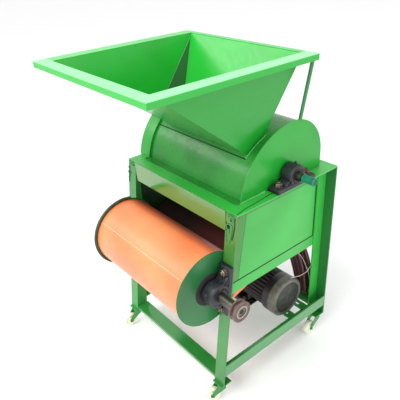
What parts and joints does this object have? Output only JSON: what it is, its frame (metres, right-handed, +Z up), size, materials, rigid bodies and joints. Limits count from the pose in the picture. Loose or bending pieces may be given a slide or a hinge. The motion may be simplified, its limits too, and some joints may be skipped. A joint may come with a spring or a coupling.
{
  "type": "peanut sheller",
  "caption": "Free-standing peanut sheller: square hopper over a curved drum cover, blower with orange wrap, angle-iron stand with raked front legs, motor and casters",
  "frame": {"origin": "centre of the outline on the floor", "axes": "+Z up, -Y towards the blower, +X towards the blower's pulley"},
  "size_m": [0.664, 0.65, 0.992],
  "materials": {
    "green_paint": "gloss green paint",
    "dark_green_paint": "gloss darker green paint",
    "orange_paint": "gloss orange paint",
    "bearing_iron": "dark painted casting",
    "shaft_steel": "turned steel",
    "rotor_iron": "bare cast iron and bar",
    "zinc_bolts": "zinc plated",
    "motor_black": "black enamel",
    "cowl_grey": "grey enamel",
    "belt_rubber": "dark wrapped belt",
    "sleeve_teal": "moulded cap",
    "caster_nylon": "cream nylon"
  },
  "bodies": {
    "stand": {"bearing_guard_left": "green_paint", "bolts": "zinc_bolts", "bottom_bar_front": "dark_green_paint", "bottom_bar_rear": "dark_green_paint", "bottom_rails_side": "dark_green_paint", "caster_plates": "dark_green_paint", "cover_end_left": "green_paint", "cover_end_right": "green_paint", "cover_shell": "green_paint", "drive_belt": "belt_rubber", "drum_bearing_housings": "bearing_iron", "fan_bearing_left": "bearing_iron", "fan_bearing_right": "bearing_iron", "fan_duct": "orange_paint", "fan_end_left": "dark_green_paint", "fan_end_right": "dark_green_paint", "fan_wrap": "orange_paint", "front_apron": "green_paint", "grate": "shaft_steel", "hopper_rim": "green_paint", "hopper_stays": "green_paint", "hopper_walls": "green_paint", "layshaft_bearing": "bearing_iron", "layshaft_bridge": "dark_green_paint", "leg_front_left": "dark_green_paint", "leg_front_right": "dark_green_paint", "leg_rear_left": "dark_green_paint", "leg_rear_right": "dark_green_paint", "mid_bars": "green_paint", "motor_body": "motor_black", "motor_cowl": "cowl_grey", "motor_plate": "motor_black", "motor_rails": "dark_green_paint", "motor_terminal_box": "motor_black", "side_panel_left": "green_paint", "side_panel_right": "green_paint", "stowed_belts": "belt_rubber", "top_rails_cross": "green_paint", "top_rails_side": "green_paint"},
    "rotor": {"drum_shaft": "shaft_steel", "drum_discs": "rotor_iron", "beater_bars": "rotor_iron", "drum_bearing_inserts": "shaft_steel", "shaft_sleeve": "sleeve_teal", "main_pulley": "rotor_iron"},
    "motor_rotor": {"motor_shaft": "shaft_steel", "layshaft": "shaft_steel", "motor_pulley": "rotor_iron"},
    "fan_rotor": {"fan_shaft": "shaft_steel", "fan_impeller": "rotor_iron", "fan_bearing_inserts": "shaft_steel", "fan_pulley": "rotor_iron"},
    "fork_front_left": {"caster_fork_front_left": "dark_green_paint"},
    "wheel_front_left": {"caster_wheel_front_left": "caster_nylon"},
    "fork_front_right": {"caster_fork_front_right": "dark_green_paint"},
    "wheel_front_right": {"caster_wheel_front_right": "caster_nylon"},
    "fork_rear_left": {"caster_fork_rear_left": "dark_green_paint"},
    "wheel_rear_left": {"caster_wheel_rear_left": "caster_nylon"},
    "fork_rear_right": {"caster_fork_rear_right": "dark_green_paint"},
    "wheel_rear_right": {"caster_wheel_rear_right": "caster_nylon"}
  },
  "joints": [
    {"name": "rotor_spin", "type": "hinge", "parent": "stand", "child": "rotor", "pos_m": [0, 0.142, 0.672], "axis": [1, 0, 0], "continuous": true},
    {"name": "motor_spin", "type": "hinge", "parent": "stand", "child": "motor_rotor", "pos_m": [0, 0.194, 0.18], "axis": [1, 0, 0], "continuous": true},
    {"name": "fan_spin", "type": "hinge", "parent": "stand", "child": "fan_rotor", "pos_m": [0, -0.15076, 0.419], "axis": [1, 0, 0], "continuous": true},
    {"name": "swivel_front_left", "type": "hinge", "parent": "stand", "child": "fork_front_left", "pos_m": [-0.23, -0.1383, 0.05], "axis": [0, 0, 1], "continuous": true},
    {"name": "roll_front_left", "type": "hinge", "parent": "fork_front_left", "child": "wheel_front_left", "pos_m": [-0.23665, -0.1696, 0.025], "axis": [0.9781, -0.2079, 0], "continuous": true},
    {"name": "swivel_front_right", "type": "hinge", "parent": "stand", "child": "fork_front_right", "pos_m": [0.23, -0.1383, 0.05], "axis": [0, 0, 1], "continuous": true},
    {"name": "roll_front_right", "type": "hinge", "parent": "fork_front_right", "child": "wheel_front_right", "pos_m": [0.214, -0.16601, 0.025], "axis": [0.866, -0.5, 0], "continuous": true},
    {"name": "swivel_rear_left", "type": "hinge", "parent": "stand", "child": "fork_rear_left", "pos_m": [-0.23, 0.305, 0.05], "axis": [0, 0, 1], "continuous": true},
    {"name": "roll_rear_left", "type": "hinge", "parent": "fork_rear_left", "child": "wheel_rear_left", "pos_m": [-0.23, 0.273, 0.025], "axis": [1, 0, 0], "continuous": true},
    {"name": "swivel_rear_right", "type": "hinge", "parent": "stand", "child": "fork_rear_right", "pos_m": [0.23, 0.305, 0.05], "axis": [0, 0, 1], "continuous": true},
    {"name": "roll_rear_right", "type": "hinge", "parent": "fork_rear_right", "child": "wheel_rear_right", "pos_m": [0.23, 0.273, 0.025], "axis": [1, 0, 0], "continuous": true}
  ],
  "couplings": [
    {"joint": "motor_spin", "follows": "rotor_spin", "ratio": 2.565}
  ]
}
